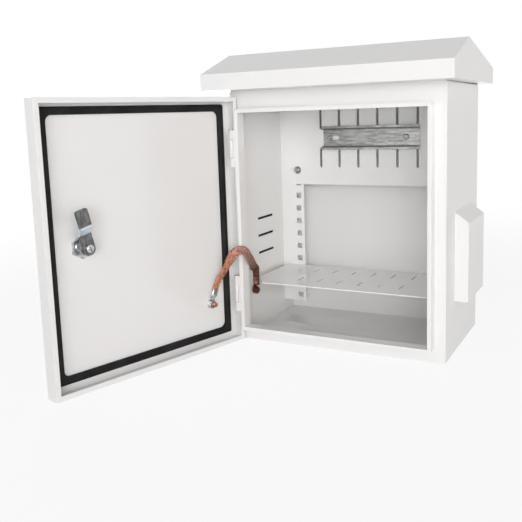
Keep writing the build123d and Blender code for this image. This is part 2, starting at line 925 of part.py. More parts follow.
nodes["cabinet_wrap"] = cabinet_wrap()
nodes["front_frame"] = front_frame()
nodes["back_panel"] = back_panel()
nodes["rain_roof"] = rain_roof()
nodes["right_vent_hood"] = vent_hood()
nodes["left_vent_hood"] = mirrored(vent_hood())
nodes["right_upright"] = upright()
nodes["left_upright"] = mirrored(upright())
nodes["mounting_plate"] = mounting_plate()
nodes["plate_screws"] = plate_screws
nodes["plate_washers"] = plate_washers
nodes["plate_nuts"] = plate_nuts
nodes["din_rail"] = din_rail()
nodes["rail_screws"] = rail_screws
nodes["rail_nuts"] = rail_nuts
nodes["shelf"] = shelf()
nodes["right_shelf_arm"] = shelf_arm()
nodes["left_shelf_arm"] = mirrored(shelf_arm())
nodes["arm_bolts"] = arm_bolts
nodes["arm_nuts"] = arm_nuts
for name, level in hinge_levels.items():
    nodes[name + "_hinge_leaf"] = hinge_leaf(level)
    nodes[name + "_hinge_pin"] = hinge_pin(level)
    nodes[name + "_door_knuckle"] = on_door(door_knuckle(level))
nodes["door_panel"] = on_door(door_panel())
nodes["door_gasket"] = on_door(door_gasket())
nodes["lock_housing"] = on_door(lock_housing())
nodes["lock_nut"] = on_door(lock_nut())
nodes["lock_cylinder"] = on_door(lock_cylinder())
nodes["lock_cam"] = on_door(lock_cam())
nodes["cam_screw"] = on_door(cam_screw())
nodes["door_earth_stud"] = at_door_terminal(earth_stud(door_stud_length))
nodes["door_earth_lug"] = at_door_terminal(earth_lug())
nodes["door_earth_nut"] = at_door_terminal(earth_nut())
nodes["wall_earth_stud"] = at_wall_terminal(earth_stud(wall_stud_length))
nodes["wall_earth_lug"] = at_wall_terminal(earth_lug())
nodes["wall_earth_nut"] = at_wall_terminal(earth_nut())
nodes["earth_strap"] = earth_strap()

for name, shape in nodes.items():
    solids = shape if isinstance(shape, list) else [shape]
    export_step(Compound(children=[s for solid in solids for s in solid.solids()]), "parts/" + name + ".step")
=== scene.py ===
import json
import math
import bmesh
import bpy
from mathutils import Matrix, Vector


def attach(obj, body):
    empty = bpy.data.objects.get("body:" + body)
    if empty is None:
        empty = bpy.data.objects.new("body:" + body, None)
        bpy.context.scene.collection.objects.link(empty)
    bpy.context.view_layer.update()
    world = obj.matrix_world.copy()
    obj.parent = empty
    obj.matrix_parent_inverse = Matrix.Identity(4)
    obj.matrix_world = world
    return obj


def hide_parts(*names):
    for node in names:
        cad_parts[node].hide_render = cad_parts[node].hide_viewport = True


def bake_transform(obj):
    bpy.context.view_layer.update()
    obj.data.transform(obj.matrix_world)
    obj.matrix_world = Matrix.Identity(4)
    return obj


# outdoor cabinet standing open: powder-coated sheet, galvanised rail, zinc fixings,
# foam gasket and a flat copper braid. Metres, same frame as the solids.

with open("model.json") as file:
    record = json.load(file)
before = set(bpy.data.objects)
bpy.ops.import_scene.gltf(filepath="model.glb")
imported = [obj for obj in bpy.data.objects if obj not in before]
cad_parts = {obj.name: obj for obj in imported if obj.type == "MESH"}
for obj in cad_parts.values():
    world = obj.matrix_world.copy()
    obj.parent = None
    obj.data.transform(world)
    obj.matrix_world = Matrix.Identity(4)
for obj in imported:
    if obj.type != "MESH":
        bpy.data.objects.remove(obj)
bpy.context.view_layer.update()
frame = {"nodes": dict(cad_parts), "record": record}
nodes = frame["nodes"]
record = frame["record"]


# camera, from the fit of the photo's perspective

photoView = {
    "place": (0.3472, -0.9278, 0.3121),
    "yaw": 27.94,  # degrees
    "pitch": 8.54,
    "roll": -1.83,
    "focal": 696.66,  # pixels
    "middle": (267.32, 222.11),  # pixels, where the lens axis meets the picture
    "imageSize": 522,
    "sensor": 36,  # millimetres
    "clipStart": 0.01,
}


def addCamera(view):
    yaw, pitch, roll = (math.radians(view[k]) for k in ("yaw", "pitch", "roll"))
    ahead = Vector((-math.sin(yaw) * math.cos(pitch), math.cos(yaw) * math.cos(pitch), -math.sin(pitch)))
    level = Vector((math.cos(yaw), math.sin(yaw), 0))
    upright = level.cross(ahead)
    right = math.cos(roll) * level + math.sin(roll) * upright
    up = -math.sin(roll) * level + math.cos(roll) * upright
    data = bpy.data.cameras.new("camera")
    data.sensor_width = view["sensor"]
    data.lens = view["focal"] / view["imageSize"] * view["sensor"]
    half = view["imageSize"] / 2
    data.shift_x = (half - view["middle"][0]) / view["imageSize"]
    data.shift_y = (view["middle"][1] - half) / view["imageSize"]
    data.clip_start = view["clipStart"]
    camera = bpy.data.objects.new("camera", data)
    bpy.context.collection.objects.link(camera)
    turn = Matrix((right, up, -ahead)).transposed().to_4x4()
    camera.matrix_world = Matrix.Translation(view["place"]) @ turn
    bpy.context.scene.camera = camera


addCamera(photoView)
print("camera ready")


# helpers for meshes and shader nodes

nearEnough = 1e-6  # metres within which two places count as one


def newObject(name, bm, material, body, smooth=True):
    mesh = bpy.data.meshes.new(name)
    bm.to_mesh(mesh)
    bm.free()
    mesh.materials.append(material)
    for face in mesh.polygons:
        face.use_smooth = smooth
    made = bpy.data.objects.new(name, mesh)
    bpy.context.collection.objects.link(made)
    if body:
        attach(made, body)
    return made


# links a socket, or sets a plain value
def feed(tree, value, socket):
    if isinstance(value, bpy.types.NodeSocket):
        tree.links.new(value, socket)
    else:
        socket.default_value = value


def addNoise(tree, vector, scale, detail, roughness=0.5):
    noise = tree.nodes.new("ShaderNodeTexNoise")
    noise.inputs["Detail"].default_value = detail
    noise.inputs["Roughness"].default_value = roughness
    feed(tree, scale, noise.inputs["Scale"])
    tree.links.new(vector, noise.inputs["Vector"])
    return noise.outputs["Fac"]


# stretches a range of values to another one
def addRange(tree, value, fromLow, fromHigh, toLow, toHigh, smooth=False):
    spread = tree.nodes.new("ShaderNodeMapRange")
    if smooth:
        spread.interpolation_type = "SMOOTHSTEP"
    tree.links.new(value, spread.inputs["Value"])
    limits = {"From Min": fromLow, "From Max": fromHigh, "To Min": toLow, "To Max": toHigh}
    for label, amount in limits.items():
        feed(tree, amount, spread.inputs[label])
    return spread.outputs["Result"]


def addMix(tree, factor, first, second, blend="MIX"):
    mix = tree.nodes.new("ShaderNodeMix")
    mix.data_type = "RGBA"
    mix.blend_type = blend
    for label, value in {"Factor": factor, "A": first, "B": second}.items():
        feed(tree, value, mix.inputs[label])
    return mix.outputs["Result"]


def addMath(tree, operation, first, second):
    made = tree.nodes.new("ShaderNodeMath")
    made.operation = operation
    feed(tree, first, made.inputs[0])
    feed(tree, second, made.inputs[1])
    return made.outputs["Value"]


def addBump(tree, shader, height, distance, strength=1.0):
    bump = tree.nodes.new("ShaderNodeBump")
    bump.inputs["Distance"].default_value = distance
    bump.inputs["Strength"].default_value = strength
    tree.links.new(height, bump.inputs["Height"])
    tree.links.new(bump.outputs["Normal"], shader.inputs["Normal"])


# skins that several materials share: node groups that put out tone, gloss and height

coatedLook = {
    "scales": {"Peel": 260.0, "Drift": 7.0},
    "detail": 1.0,
    "fineScale": 0.28,  # of the peel's scale
    "fineDetail": 2.0,
    "spread": (0.2, 0.8),  # part of the noise that is stretched to 0 and 1
}
platedLook = {
    "scales": {"Grain": 900.0, "Cloud": 90.0},
    "grainDetail": 2.0,
    "cloudDetail": 4.0,
    "cloudRoughness": 0.6,
    "spread": (0.3, 0.7),
}


def startSkin(name, scales):
    group = bpy.data.node_groups.new(name, "ShaderNodeTree")
    group.interface.new_socket("Vector", in_out="INPUT", socket_type="NodeSocketVector")
    for label, scale in scales.items():
        socket = group.interface.new_socket(label, in_out="INPUT", socket_type="NodeSocketFloat")
        socket.default_value = scale
    for label in ("Tone", "Gloss", "Height"):
        group.interface.new_socket(label, in_out="OUTPUT", socket_type="NodeSocketFloat")
    entry = group.nodes.new("NodeGroupInput")
    leave = group.nodes.new("NodeGroupOutput")
    return group, entry.outputs, leave.inputs


def endSkin(group, leave, tone, gloss, height, spread):
    group.links.new(addRange(group, tone, *spread, 0.0, 1.0, smooth=True), leave["Tone"])
    group.links.new(addRange(group, gloss, *spread, 0.0, 1.0, smooth=True), leave["Gloss"])
    group.links.new(height, leave["Height"])


# slow drift and orange peel of a sprayed or foamed skin
def coatedSkinGroup(look):
    group, entry, leave = startSkin("coatedSkin", look["scales"])
    peel = addNoise(group, entry["Vector"], entry["Peel"], look["detail"])
    drift = addNoise(group, entry["Vector"], entry["Drift"], look["detail"])
    fineScale = addMath(group, "MULTIPLY", entry["Peel"], look["fineScale"])
    fine = addNoise(group, entry["Vector"], fineScale, look["fineDetail"])
    endSkin(group, leave, drift, fine, peel, look["spread"])
    return group


# fine scratches and clouding of plated metal
def platedSkinGroup(look):
    group, entry, leave = startSkin("platedSkin", look["scales"])
    grain = addNoise(group, entry["Vector"], entry["Grain"], look["grainDetail"])
    cloud = addNoise(group, entry["Vector"], entry["Cloud"], look["cloudDetail"], look["cloudRoughness"])
    endSkin(group, leave, cloud, grain, grain, look["spread"])
    return group


coatedSkin = coatedSkinGroup(coatedLook)
platedSkin = platedSkinGroup(platedLook)
print("groups ready")


# a Principled material and its position: returns material, tree, shader and vector socket
def startMaterial(name, stretch=(1, 1, 1)):
    material = bpy.data.materials.new(name)
    material.use_nodes = True
    tree = material.node_tree
    shader = tree.nodes["Principled BSDF"]
    place = tree.nodes.new("ShaderNodeTexCoord")
    mapping = tree.nodes.new("ShaderNodeMapping")
    mapping.inputs["Scale"].default_value = stretch
    tree.links.new(place.outputs["Object"], mapping.inputs["Vector"])
    return material, tree, shader, mapping.outputs["Vector"]


def placeGroup(tree, group, vector, **values):
    placed = tree.nodes.new("ShaderNodeGroup")
    placed.node_tree = group
    tree.links.new(vector, placed.inputs["Vector"])
    for label, value in values.items():
        placed.inputs[label].default_value = value
    return placed.outputs


# powder coat on all painted sheet

powderCoat = {
    "colour": (0.882, 0.879, 0.874, 1),
    "shade": (0.868, 0.864, 0.858, 1),
    "roughness": (0.085, 0.1),
    "peel": 620.0,
    "peelDepth": 0.000008,
    "coat": 0.15,
    "coatRoughness": 0.03,
}


def powderMaterial(name, paint):
    material, tree, shader, vector = startMaterial(name)
    skin = placeGroup(tree, coatedSkin, vector, Peel=paint["peel"])
    colour = addMix(tree, skin["Tone"], paint["shade"], paint["colour"])
    tree.links.new(colour, shader.inputs["Base Color"])
    rough = addRange(tree, skin["Gloss"], 0.0, 1.0, *paint["roughness"])
    tree.links.new(rough, shader.inputs["Roughness"])
    addBump(tree, shader, skin["Height"], paint["peelDepth"])
    shader.inputs["Coat Weight"].default_value = paint["coat"]
    shader.inputs["Coat Roughness"].default_value = paint["coatRoughness"]
    return material


# plated, bare and blackened metals

grainDepth = 0.00002
metals = {
    "zincPlated": {
        "light": (0.70, 0.715, 0.73, 1),
        "dark": (0.34, 0.35, 0.365, 1),
        "roughness": (0.12, 0.28),
        "stretch": (1, 1, 1),
        "cloud": 120.0,
        "grain": 900.0,
    },
    "screwZinc": {
        "light": (0.46, 0.47, 0.48, 1),
        "dark": (0.16, 0.165, 0.175, 1),
        "roughness": (0.15, 0.32),
        "stretch": (1, 1, 1),
        "cloud": 420.0,
        "grain": 900.0,
    },
    "camSteel": {
        "light": (0.235, 0.24, 0.24, 1),
        "dark": (0.10, 0.102, 0.105, 1),
        "roughness": (0.22, 0.4),
        "stretch": (1, 1, 0.35),
        "cloud": 260.0,
        "grain": 1100.0,
        "paintedBand": {  # painted highlight where the strap is cranked, metres from the middle along a direction
            "along": (-0.0690, -0.2407, 0.9681),
            "middle": 0.2574,
            "from": (0.0165, 0.0185),
            "to": (0.0265, 0.0290),
            "colour": (0.74, 0.83, 0.89, 1),
        },
    },
    "galvanisedRail": {
        "light": (0.52, 0.52, 0.515, 1),
        "dark": (0.27, 0.27, 0.267, 1),
        "roughness": (0.22, 0.42),
        "stretch": (0.14, 1, 1),
        "cloud": 420.0,
        "grain": 1500.0,
        "paintedBand": {  # painted shade lines where the hat is folded
            "along": (0, 0, 1),
            "middle": 0.2785,
            "from": (0.0115, 0.0127),
            "to": (0.0138, 0.0150),
            "colour": (0.13, 0.13, 0.128, 1),
        },
    },
    "copperStud": {
        "light": (0.78, 0.42, 0.30, 1),
        "dark": (0.36, 0.15, 0.10, 1),
        "roughness": (0.25, 0.45),
        "stretch": (1, 1, 1),
        "cloud": 250.0,
        "grain": 1100.0,
    },
    # copper darkened with painted shade, for the wall terminal that hangs in shadow
    "shadedCopper": {
        "light": (0.30, 0.135, 0.10, 1),
        "dark": (0.10, 0.042, 0.032, 1),
        "roughness": (0.4, 0.6),
        "stretch": (1, 1, 1),
        "cloud": 300.0,
        "grain": 1100.0,
    },
}


# mask for the painted highlight on the cam and the painted shade on the rail: one within a band on both sides
# of the middle, eased at the band's edges
def paintedBandMask(tree, paintedBand):
    run = tree.nodes.new("ShaderNodeVectorMath")
    run.operation = "DOT_PRODUCT"
    tree.links.new(tree.nodes["Texture Coordinate"].outputs["Object"], run.inputs[0])
    run.inputs[1].default_value = paintedBand["along"]
    offset = addMath(tree, "SUBTRACT", run.outputs["Value"], paintedBand["middle"])
    away = addMath(tree, "ABSOLUTE", offset, 0.0)
    rise = addRange(tree, away, *paintedBand["from"], 0.0, 1.0, smooth=True)
    fall = addRange(tree, away, *paintedBand["to"], 1.0, 0.0, smooth=True)
    return addMath(tree, "MULTIPLY", rise, fall)


def platedMaterial(name):
    metal = metals[name]
    material, tree, shader, vector = startMaterial(name, metal["stretch"])
    skin = placeGroup(tree, platedSkin, vector, Cloud=metal["cloud"], Grain=metal["grain"])
    colour = addMix(tree, skin["Tone"], metal["dark"], metal["light"])
    # the band's colour is painted highlight on the cam and painted shade on the rail, laid over the metal's
    # own colour
    if "paintedBand" in metal:
        colour = addMix(tree, paintedBandMask(tree, metal["paintedBand"]), colour, metal["paintedBand"]["colour"])
    tree.links.new(colour, shader.inputs["Base Color"])
    rough = addRange(tree, skin["Gloss"], 0.0, 1.0, *metal["roughness"])
    tree.links.new(rough, shader.inputs["Roughness"])
    shader.inputs["Metallic"].default_value = 1.0
    addBump(tree, shader, skin["Height"], grainDepth)
    return material


# foam of the gasket and the filter pads

gasketFoam = {
    "colour": (0.004, 0.004, 0.0045, 1),
    "worn": (0.015, 0.015, 0.016, 1),
    "pores": 1400.0,
    "drift": 40.0,
    "poreDepth": 0.00015,
    "roughness": (0.6, 0.85),
    "specular": 0.25,
}


def foamMaterial(name, look):
    material, tree, shader, vector = startMaterial(name)
    skin = placeGroup(tree, coatedSkin, vector, Peel=look["pores"], Drift=look["drift"])
    colour = addMix(tree, skin["Tone"], look["colour"], look["worn"])
    tree.links.new(colour, shader.inputs["Base Color"])
    rough = addRange(tree, skin["Gloss"], 0.0, 1.0, *look["roughness"])
    tree.links.new(rough, shader.inputs["Roughness"])
    shader.inputs["Specular IOR Level"].default_value = look["specular"]
    addBump(tree, shader, skin["Height"], look["poreDepth"])
    return material


whitePaint = powderMaterial("whitePowderCoat", powderCoat)
zincMetal = platedMaterial("zincPlated")
screwMetal = platedMaterial("screwZinc")
camMetal = platedMaterial("camSteel")
railMetal = platedMaterial("galvanisedRail")
studMetal = platedMaterial("copperStud")
# copper darkened with painted shade
shadedCopperMetal = platedMaterial("shadedCopper")
foam = foamMaterial("gasketFoam", gasketFoam)
print("materials ready")


# finish on the solids: material by slot or by node, and softened edges

finishOf = {
    "white_paint": whitePaint,
    "zinc": zincMetal,
    "galvanised": railMetal,
    "gasket_rubber": foam,
    "copper": studMetal,
}
ownFinish = {
    "lock_cam": camMetal,
    "plate_screws": screwMetal,
    "plate_washers": screwMetal,
    "rail_screws": screwMetal,
    # the wall terminal's lug, nut and stud take the copper darkened with painted shade
    "wall_earth_lug": shadedCopperMetal,
    "wall_earth_nut": shadedCopperMetal,
    "wall_earth_stud": shadedCopperMetal,
}
softEdge = {
    "white_paint": {"width": 0.00035, "segments": 2, "angle": 35},
    "zinc": {"width": 0.00022, "segments": 2, "angle": 40},
    "galvanised": {"width": 0.00015, "segments": 1, "angle": 40},
    "copper": {"width": 0.0002, "segments": 2, "angle": 40},
}
cleanMesh = {
    "weld": 0.000002,  # joins the corners of the loose triangles
    "flat": 0.6,  # degrees under which neighbouring faces become one
}


def softenEdges(piece, edge):
    weld = piece.modifiers.new("weld", "WELD")
    weld.merge_threshold = cleanMesh["weld"]
    flat = piece.modifiers.new("flat", "DECIMATE")
    flat.decimate_type = "DISSOLVE"
    flat.angle_limit = math.radians(cleanMesh["flat"])
    bevel = piece.modifiers.new("bevel", "BEVEL")
    bevel.width = edge["width"]
    bevel.segments = edge["segments"]
    bevel.limit_method = "ANGLE"
    bevel.angle_limit = math.radians(edge["angle"])
    bevel.harden_normals = True


def dressSolids():
    slotOf = {s["node"]: s["material_slot"] for s in record["subparts"]}
    for name, piece in nodes.items():
        slotName = slotOf[name]
        piece.data.materials.clear()
        piece.data.materials.append(ownFinish.get(name, finishOf[slotName]))
        if slotName in softEdge:
            softenEdges(piece, softEdge[slotName])
    print("dressed", len(nodes), "solids")


dressSolids()


# door's own frame: u from the hinge along the door, v out of its inner side, z up.
# The hinge's axis points down, so its shut angle is also the turn about z from shut to rest.

joints = {j["name"]: j for j in record["behaviour"]["joints"]}
hingeX, hingeY = joints["door_hinge"]["pos_m"][:2]
doorTurn = Matrix.Rotation(math.radians(joints["door_hinge"]["range_deg"][0]), 4, "Z")
doorPlace = Matrix.Translation((hingeX, hingeY, 0)) @ doorTurn
doorSkin = -0.0125  # v of the door's inner skin


# the foam gasket as a domed bead, closed with one butt joint

gasketBead = {
    "outer": ((0.006, 0.0117), (0.280, 0.3317)),  # corners in u and z
    "width": 0.0094,
    "height": 0.0056,
    "outerRadius": 0.003,
    "innerRadius": 0.008,
    "cornerSegments": 6,
    "dome": 0.0034,
    "domeSegments": 5,
    "joint": 0.119,  # u of the butt joint in the lower run
    "jointHalf": 0.0005,
    "jointDepth": 0.0006,
}


# a rectangle with rounded corners, as a ring of edges
def roundedLoop(bm, low, high, radius, segments):
    corners = [(low[0], low[1]), (high[0], low[1]), (high[0], high[1]), (low[0], high[1])]
    verts = [bm.verts.new((x, 0, z)) for x, z in corners]
    bm.faces.new(verts)
    made = bmesh.ops.bevel(
        bm, geom=verts, offset=radius, offset_type="OFFSET", affect="VERTICES",
        segments=segments, profile=0.5, material=-1,
    )
    face = max((f for v in made["verts"] for f in v.link_faces), key=lambda f: len(f.verts))
    edges = list(face.edges)
    bmesh.ops.delete(bm, geom=[face], context="FACES_ONLY")
    return edges


# rounds the edges where the bead's face meets its sides
def domeFace(bm, bead):
    rim = [e for e in bm.edges if all(abs(v.co.y - bead["height"]) < nearEnough for v in e.verts)]
    rim = [e for e in rim if any(abs(f.normal.y) < 0.5 for f in e.link_faces)]
    bmesh.ops.bevel(
        bm, geom=rim, offset=bead["dome"], offset_type="OFFSET", affect="EDGES",
        segments=bead["domeSegments"], profile=0.5, material=-1, clamp_overlap=True,
    )


def topOf(part):
    corners = [part] if isinstance(part, bmesh.types.BMVert) else part.verts
    return max(v.co.z for v in corners)


# a nick across the lower run, where the bead's ends meet
def nickJoint(bm, bead):
    runTop = bead["outer"][0][1] + 2 * bead["width"]
    for step in (-1, 0, 1):
        lowRun = [g for g in list(bm.verts) + list(bm.edges) + list(bm.faces) if topOf(g) < runTop]
        cut = (bead["joint"] + step * bead["jointHalf"], 0, 0)
        bmesh.ops.bisect_plane(bm, geom=lowRun, plane_co=cut, plane_no=(1, 0, 0), dist=nearEnough)
    for v in bm.verts:
        inJoint = topOf(v) < runTop and abs(v.co.x - bead["joint"]) < bead["jointHalf"] / 2
        if inJoint and v.co.y > bead["jointDepth"]:
            v.co.y -= bead["jointDepth"]


def foamBead(bead):
    bm = bmesh.new()
    (u0, z0), (u1, z1) = bead["outer"]
    width, segments = bead["width"], bead["cornerSegments"]
    outer = roundedLoop(bm, (u0, z0), (u1, z1), bead["outerRadius"], segments)
    inner = roundedLoop(bm, (u0 + width, z0 + width), (u1 - width, z1 - width), bead["innerRadius"], segments)
    bmesh.ops.bridge_loops(bm, edges=outer + inner)
    band = bmesh.ops.extrude_face_region(bm, geom=list(bm.faces))["geom"]
    top = {v for g in band if isinstance(g, bmesh.types.BMFace) for v in g.verts}
    bmesh.ops.translate(bm, verts=list(top), vec=(0, bead["height"], 0))
    domeFace(bm, bead)
    nickJoint(bm, bead)
    bmesh.ops.recalc_face_normals(bm, faces=bm.faces)
    bmesh.ops.translate(bm, verts=bm.verts, vec=(0, doorSkin, 0))
    bmesh.ops.transform(bm, matrix=doorPlace, verts=bm.verts)
    piece = newObject("gasketBead", bm, foam, "door")
    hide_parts("door_gasket")
    weighted = piece.modifiers.new("shade", "WEIGHTED_NORMAL")
    weighted.keep_sharp = True
    print("gasket bead", len(piece.data.polygons), "faces")


foamBead(gasketBead)


# frames of the earth terminals and the lock barrel, in which lugs and threads are millimetres

perMetre = 1000
terminals = {
    "height": 0.0593,  # z of both studs
    "doorU": 0.0415,
    "doorLean": 112,  # degrees from u to the tongue of the door's lug
    "wallPlace": (-0.1473, -0.0450),  # x and y
    "lockU": 0.236,
}


# a frame at a place: x along, z out of the sheet
def squareFrame(origin, along, out):
    along, out = Vector(along).normalized(), Vector(out).normalized()
    across = out.cross(along)
    return Matrix.Translation(origin) @ Matrix((along, across, out)).transposed().to_4x4()


# a frame on the door's inner skin, x leaning from u towards z
def doorFrame(u, z, lean):
    along = (math.cos(math.radians(lean)), 0, math.sin(math.radians(lean)))
    return doorPlace @ squareFrame((u, doorSkin, z), along, (0, 1, 0))


doorTerminal = doorFrame(terminals["doorU"], terminals["height"], terminals["doorLean"])
wallTerminal = squareFrame((*terminals["wallPlace"], terminals["height"]), (0, 0, 1), (1, 0, 0))
lockBarrel = doorFrame(terminals["lockU"], joints["lock_turn"]["pos_m"][2], 0)


# earth lugs: a ring tongue that runs into a crimped barrel, as stations along it from the stud.
# A station is along, height of the middle, half width, half thickness and turn in degrees.

ringEnd = [
    (-5.5, 1.6, 0.8, 0.6, 0), (-5.1, 1.6, 2.1, 0.6, 0), (-4.2, 1.6, 3.6, 0.6, 0),
    (-2.6, 1.6, 4.9, 0.6, 0), (0.0, 1.6, 5.5, 0.6, 0),
]
lugForm = {
    "sides": 28,
    "squareness": 0.7,  # power that turns a round section into one with flatter sides
    "mouth": ((0.0, 0.86), (1.2, 0.8)),  # turned in and down to the braid: back, share of the size
}
lugs = {
    "doorLug": {
        "node": "door_earth_lug", "body": "door", "slot": "zinc",
        "place": doorTerminal, "metal": zincMetal,
        "stations": ringEnd + [
            (2.6, 1.6, 5.3, 0.6, 0), (5.5, 1.6, 4.6, 0.62, 0), (8.0, 1.9, 4.2, 0.75, 0),
            (10.0, 2.8, 4.2, 1.2, 0), (12.0, 3.8, 4.4, 1.65, 0), (13.2, 4.1, 4.6, 1.8, 0),
            (14.2, 4.1, 4.7, 1.8, 0), (15.0, 4.1, 4.8, 1.45, 0), (15.8, 4.1, 4.7, 1.8, 0),
            (17.0, 4.1, 4.7, 1.8, 0), (17.8, 4.1, 4.8, 1.45, 0), (18.6, 4.1, 4.7, 1.8, 0),
            (19.5, 4.1, 4.75, 1.85, 0), (20.0, 4.1, 4.95, 2.0, 0),
        ],
    },
    # the wall lug's copper is darkened with painted shade
    "wallLug": {
        "node": "wall_earth_lug", "body": "cabinet", "slot": "copper",
        "place": wallTerminal, "metal": shadedCopperMetal,
        "stations": ringEnd + [
            (3.0, 1.6, 5.4, 0.6, 0), (4.8, 1.7, 5.1, 0.65, -3), (5.7, 2.4, 4.8, 0.9, -16),
            (6.5, 3.6, 4.5, 1.2, -34), (7.3, 4.7, 4.4, 1.5, -46), (8.2, 5.0, 4.4, 1.6, -48),
            (13.6, 5.0, 4.3, 1.6, -48), (14.4, 5.0, 4.4, 1.3, -48), (15.2, 5.0, 4.3, 1.6, -48),
            (16.6, 5.0, 4.3, 1.6, -48), (17.4, 5.0, 4.4, 1.3, -48), (18.2, 5.0, 4.3, 1.6, -48),
            (20.0, 5.0, 4.5, 1.7, -48),
        ],
    },
}


def flattened(amount):
    return math.copysign(abs(amount) ** lugForm["squareness"], amount)


# puts a ring of vertices, with its places on a unit circle, on a station
def layRing(verts, circle, station, shrink=1.0):
    along, height, half, thick, turn = station
    spin = Matrix.Rotation(math.radians(turn), 3, "X")
    for v, c in zip(verts, circle):
        section = Vector((0, flattened(c.y) * half * shrink, flattened(c.z) * thick * shrink))
        v.co = (Vector((along, 0, height)) + spin @ section) / perMetre


# extrudes a ring, and gives the new one in the same order
def growRing(bm, verts, edges):
    made = bmesh.ops.extrude_edge_only(bm, edges=edges)["geom"]
    newEdges = [g for g in made if isinstance(g, bmesh.types.BMEdge)]
    fresh = {v for e in newEdges for v in e.verts}
    newVerts = [next(e.other_vert(v) for e in v.link_edges if e.other_vert(v) in fresh) for v in verts]
    return newVerts, newEdges


def earthTerminal(name, lug):
    bm = bmesh.new()
    ring = bmesh.ops.create_circle(bm, cap_ends=True, segments=lugForm["sides"], radius=1.0)["verts"]
    bmesh.ops.rotate(bm, verts=ring, matrix=Matrix.Rotation(math.radians(90), 3, "Y"))
    circle = [v.co.copy() for v in ring]
    edges = list(bm.edges)
    layRing(ring, circle, lug["stations"][0])
    for station in lug["stations"][1:]:
        ring, edges = growRing(bm, ring, edges)
        layRing(ring, circle, station)
    along, *barrel = lug["stations"][-1]
    for back, shrink in lugForm["mouth"]:
        ring, edges = growRing(bm, ring, edges)
        layRing(ring, circle, (along - back, *barrel), shrink)
    bmesh.ops.contextual_create(bm, geom=edges)
    bmesh.ops.recalc_face_normals(bm, faces=bm.faces)
    bmesh.ops.transform(bm, matrix=lug["place"], verts=bm.verts)
    piece = newObject(name, bm, lug["metal"], lug["body"])
    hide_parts(lug["node"])


for lugName, lugValues in lugs.items():
    earthTerminal(lugName, lugValues)


# screw threads on the parts that show them: a ridge wound round each rod

threadForm = {
    "sink": 0.05,  # of the ridge's foot in the rod
    "crest": 0.42,  # shares of the pitch
    "foot": 0.84,
    "steps": 28,  # for each turn
}
threads = {
    "doorStudThread": {
        "place": doorTerminal, "metal": studMetal, "body": "door", "slot": "copper",
        "radius": 3.0, "from": 7.3, "to": 12.7, "pitch": 1.0, "rise": 0.16,
    },
    # the wall stud's thread takes the copper darkened with painted shade
    "wallStudThread": {
        "place": wallTerminal, "metal": shadedCopperMetal, "body": "cabinet", "slot": "copper",
        "radius": 3.0, "from": 7.3, "to": 8.8, "pitch": 1.0, "rise": 0.16,
    },
    "lockThread": {
        "place": lockBarrel, "metal": zincMetal, "body": "door", "slot": "zinc",
        "radius": 9.5, "from": 5.0, "to": 15.2, "pitch": 1.5, "rise": 0.3,
    },
}


def woundThread(name, thread):
    bm = bmesh.new()
    pitch = thread["pitch"]
    root, crest = thread["radius"] - threadForm["sink"], thread["radius"] + thread["rise"]
    profile = ((root, 0), (crest, pitch * threadForm["crest"]), (root, pitch * threadForm["foot"]))
    verts = [bm.verts.new((r / perMetre, 0, (thread["from"] + z) / perMetre)) for r, z in profile]
    edges = [bm.edges.new((a, b)) for a, b in zip(verts, verts[1:] + verts[:1])]
    turns = (thread["to"] - thread["from"] - pitch) / pitch
    steps = round(turns * threadForm["steps"])
    climb = turns * pitch / steps / perMetre
    bmesh.ops.spin(
        bm, geom=verts + edges, cent=(0, 0, 0), axis=(0, 0, 1), dvec=(0, 0, climb),
        angle=turns * 2 * math.pi, steps=steps, use_merge=False,
    )
    bmesh.ops.holes_fill(bm, edges=[e for e in bm.edges if e.is_boundary], sides=3)
    bmesh.ops.recalc_face_normals(bm, faces=bm.faces)
    bmesh.ops.transform(bm, matrix=thread["place"], verts=bm.verts)
    newObject(name, bm, thread["metal"], thread["body"], smooth=False)


for threadName, threadValues in threads.items():
    woundThread(threadName, threadValues)
print("terminals and threads ready")


# snap caps that close the four fixing holes in the back

backCaps = {
    "places": [(x, z) for x in (-0.1235, 0.1235) for z in (0.0245, 0.3245)],
    "inside": 0.0898,  # y of the back's inner skin
    "profile": ((0.0, 0.0019), (0.0030, 0.00175), (0.0050, 0.0012), (0.0060, 0.0004), (0.0061, 0.0)),
    "stem": ((0.0041, 0.0), (0.0041, -0.0020), (0.0036, -0.0024), (0.0, -0.0024)),
    "sides": 24,
}


def snapCaps(caps):
    bm = bmesh.new()
    outline = caps["profile"] + caps["stem"]  # radius, height above the skin
    for x, z in caps["places"]:
        verts = [bm.verts.new((x + radius, caps["inside"] - height, z)) for radius, height in outline]
        edges = [bm.edges.new(pair) for pair in zip(verts, verts[1:])]
        bmesh.ops.spin(
            bm, geom=verts + edges, cent=(x, 0, z), axis=(0, 1, 0), angle=2 * math.pi,
            steps=caps["sides"], use_merge=True,
        )
    bmesh.ops.remove_doubles(bm, verts=bm.verts, dist=nearEnough)
    bmesh.ops.recalc_face_normals(bm, faces=bm.faces)
    newObject("backCaps", bm, whitePaint, "cabinet")


snapCaps(backCaps)


# dark foam pads inside the vent hoods, put in as painted shade so that the slots read black

shadePads = {
    "sides": {"leftShadePad": -1, "rightShadePad": 1},
    "inner": 0.1491,  # distance from the middle, just outside the wall
    "thickness": 0.004,
    "low": (-0.040, 0.084),  # corners in y and z
    "high": (0.045, 0.176),
    "step": 0.003,
    "sink": 0.0006,  # how far the open cells dent the face
    "waves": (2900, 3300),  # radians for a metre
    "waveShift": 1.3,
}


# dents the pad's two faces with the waves
def dentFaces(bm, pad):
    waveY, waveZ = pad["waves"]
    for v in bm.verts:
        wave = math.sin(v.co.x * waveY) * math.sin(v.co.y * waveZ + pad["waveShift"])
        dent = (1 + wave) / 2 * pad["sink"]
        v.co.z += -dent if v.co.z > pad["thickness"] / 2 else dent


